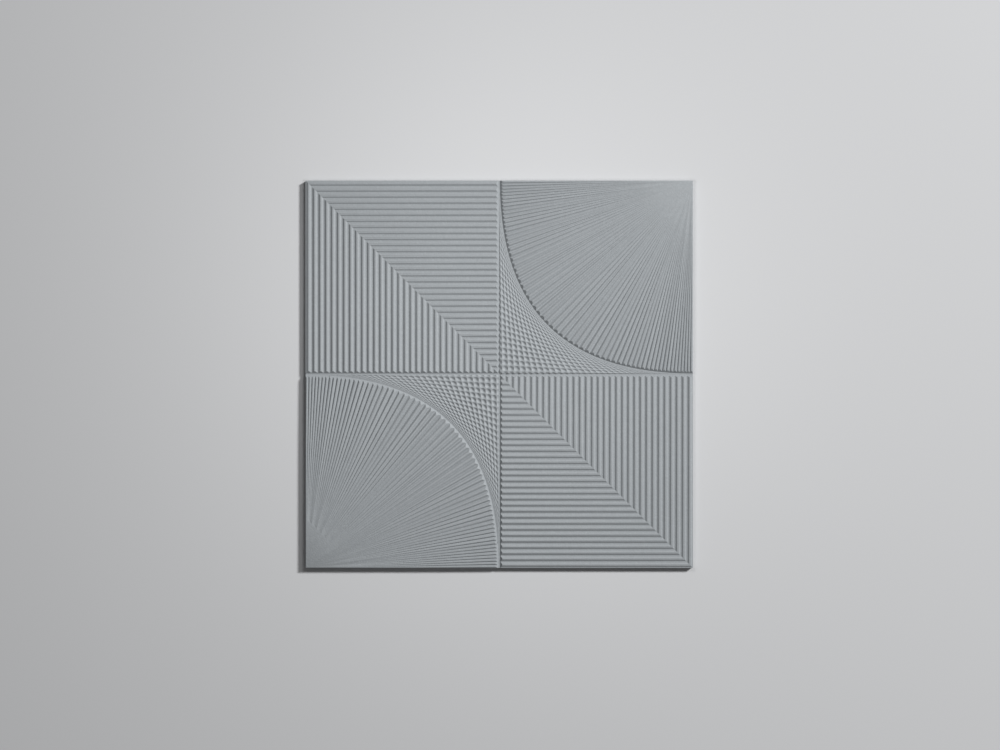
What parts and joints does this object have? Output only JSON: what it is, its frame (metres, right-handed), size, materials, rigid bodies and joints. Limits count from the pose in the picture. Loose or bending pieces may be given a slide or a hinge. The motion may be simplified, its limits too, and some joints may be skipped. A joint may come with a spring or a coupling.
{
  "type": "ceiling tile",
  "caption": "Square moulded foam ceiling tile with a flat back and a relief of mitred ribs, fanned ridges and crossed lines, glued edge to edge.",
  "frame": {"origin": "centre of the flat back face", "axes": "+Z out of the patterned face; +X and +Y along the edges, with the plain ribbed cells in the -X +Y and +X -Y quarters"},
  "size_m": [0.5, 0.5, 0.01],
  "materials": {
    "foam": "matt expanded polystyrene, fine fused beads"
  },
  "bodies": {
    "root": {"ceiling_tile": "foam"}
  },
  "joints": []
}
